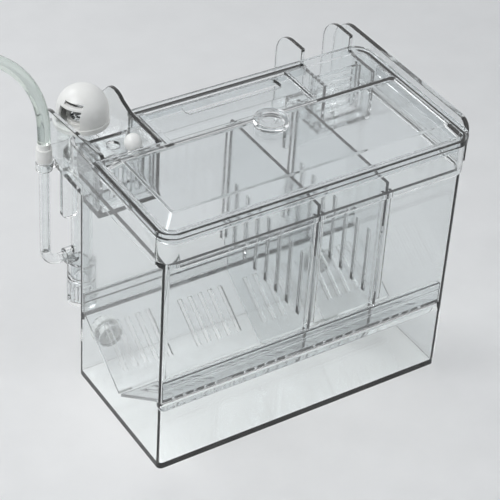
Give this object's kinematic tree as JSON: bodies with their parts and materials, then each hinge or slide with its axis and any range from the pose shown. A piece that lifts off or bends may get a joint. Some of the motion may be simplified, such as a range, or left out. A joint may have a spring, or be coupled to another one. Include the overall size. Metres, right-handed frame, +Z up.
{
  "type": "hang-on breeding box",
  "caption": "Clear hang-on fish breeding box with a lid, a slotted V trap, dividers, two hooked channels and an air-driven lift tube.",
  "frame": {"origin": "centre of the plan, on the surface that the box stands on", "axes": "+Z up, +Y from the front towards the aquarium, +X to the right seen from the front"},
  "size_m": [0.3114, 0.1325, 0.168],
  "materials": {
    "clear_tank": "clear polished plastic",
    "clear_lid": "clear polished plastic",
    "clear_insert": "clear plastic, faintly grey",
    "white_plastic": "white moulded plastic",
    "soft_pad": "soft grey",
    "airline": "clear flexible tube"
  },
  "bodies": {
    "tank": {"tank_body": "clear_tank", "inlet_channel": "clear_tank", "outlet_channel": "clear_tank", "lift_tube": "clear_tank", "air_pipe": "clear_tank", "air_barb": "white_plastic", "airline_hose": "airline", "airline_coil": "airline", "coil_tie": "white_plastic"},
    "lid": {"lid": "clear_lid"},
    "feed_plug": {"feed_plug": "clear_lid"},
    "trap": {"front_slope_plate": "clear_insert", "rear_slope_plate": "clear_insert"},
    "middle_divider": {"middle_divider": "clear_insert"},
    "outlet_divider": {"outlet_divider": "clear_insert"},
    "overflow_grille": {"overflow_grille": "clear_insert"},
    "inlet_gate": {"inlet_gate": "clear_insert", "gate_knob": "white_plastic"},
    "channel_cover": {"channel_cover": "clear_insert"},
    "lift_hood": {"lift_hood": "white_plastic"},
    "intake_strainer": {"intake_strainer": "clear_insert"},
    "level_pad_left": {"level_pad_left": "soft_pad"},
    "level_screw_left": {"level_screw_left": "white_plastic"},
    "level_pad_right": {"level_pad_right": "soft_pad"},
    "level_screw_right": {"level_screw_right": "white_plastic"}
  },
  "joints": [
    {"name": "lid_lift", "type": "slide", "parent": "tank", "child": "lid", "axis": [0, 0, 1], "range_m": [0, 0.06]},
    {"name": "plug_lift", "type": "slide", "parent": "lid", "child": "feed_plug", "axis": [0, 0, 1], "range_m": [0, 0.02]},
    {"name": "trap_lift", "type": "slide", "parent": "tank", "child": "trap", "axis": [0, 0, 1], "range_m": [0, 0.004]},
    {"name": "middle_divider_lift", "type": "slide", "parent": "trap", "child": "middle_divider", "axis": [0, 0, 1], "range_m": [0, 0.004]},
    {"name": "outlet_divider_lift", "type": "slide", "parent": "trap", "child": "outlet_divider", "axis": [0, 0, 1], "range_m": [0, 0.004]},
    {"name": "grille_lift", "type": "slide", "parent": "tank", "child": "overflow_grille", "axis": [0, 0, 1], "range_m": [0, 0.003]},
    {"name": "gate_lift", "type": "slide", "parent": "tank", "child": "inlet_gate", "axis": [0, 0, 1], "range_m": [0, 0.025]},
    {"name": "cover_lift", "type": "slide", "parent": "tank", "child": "channel_cover", "axis": [0, 0, 1], "range_m": [0, 0.02]},
    {"name": "hood_turn", "type": "hinge", "parent": "tank", "child": "lift_hood", "pos_m": [-0.05985, 0.0461, 0.1215], "axis": [0, 0, 1], "continuous": true},
    {"name": "strainer_pull", "type": "slide", "parent": "tank", "child": "intake_strainer", "axis": [0, 0, -1], "range_m": [0, 0.01]},
    {"name": "level_slide_left", "type": "slide", "parent": "tank", "child": "level_pad_left", "axis": [0, 1, 0], "range_m": [0, 0.003]},
    {"name": "level_turn_left", "type": "hinge", "parent": "level_pad_left", "child": "level_screw_left", "pos_m": [-0.05855, 0.0225, 0.016], "axis": [0, 1, 0], "range_deg": [0, 720]},
    {"name": "level_slide_right", "type": "slide", "parent": "tank", "child": "level_pad_right", "axis": [0, 1, 0], "range_m": [0, 0.003]},
    {"name": "level_turn_right", "type": "hinge", "parent": "level_pad_right", "child": "level_screw_right", "pos_m": [0.05945, 0.0225, 0.016], "axis": [0, 1, 0], "range_deg": [0, 720]}
  ],
  "couplings": [
    {"joint": "level_turn_left", "follows": "level_slide_left", "rad_per_m": 4188},
    {"joint": "level_turn_right", "follows": "level_slide_right", "rad_per_m": 4188}
  ]
}
